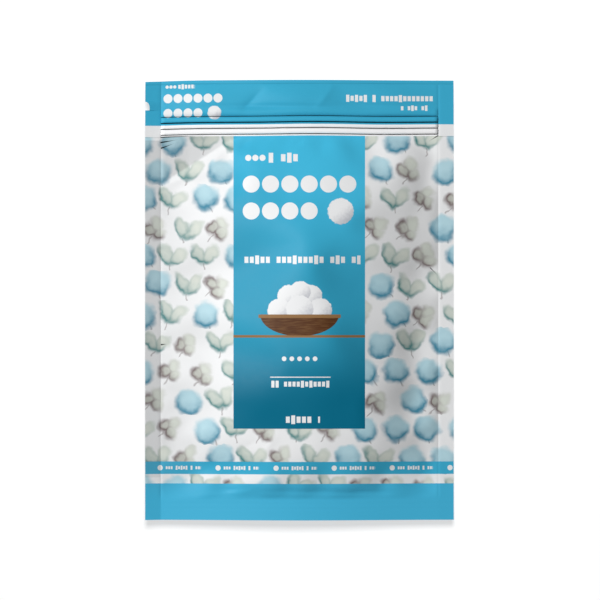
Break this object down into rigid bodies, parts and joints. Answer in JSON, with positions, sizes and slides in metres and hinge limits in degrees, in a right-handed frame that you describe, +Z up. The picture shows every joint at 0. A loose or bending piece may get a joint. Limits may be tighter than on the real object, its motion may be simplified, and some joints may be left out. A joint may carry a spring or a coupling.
{
  "type": "zip pouch of cotton balls",
  "caption": "Sealed flat film pouch filled with cotton balls, with a press-to-close zip under its header, a tear notch and flat side and foot seals. It lies on its back.",
  "frame": {"origin": "on the surface that the pouch lies on, under the middle of its outline", "axes": "+Z up, out of the printed front; +Y up the front, from the foot seal to the header; +X to the right as the front is read"},
  "size_m": [0.2, 0.285, 0.0393],
  "materials": {
    "printed_film": "satin"
  },
  "bodies": {
    "root": {"pouch": "printed_film"}
  },
  "joints": []
}
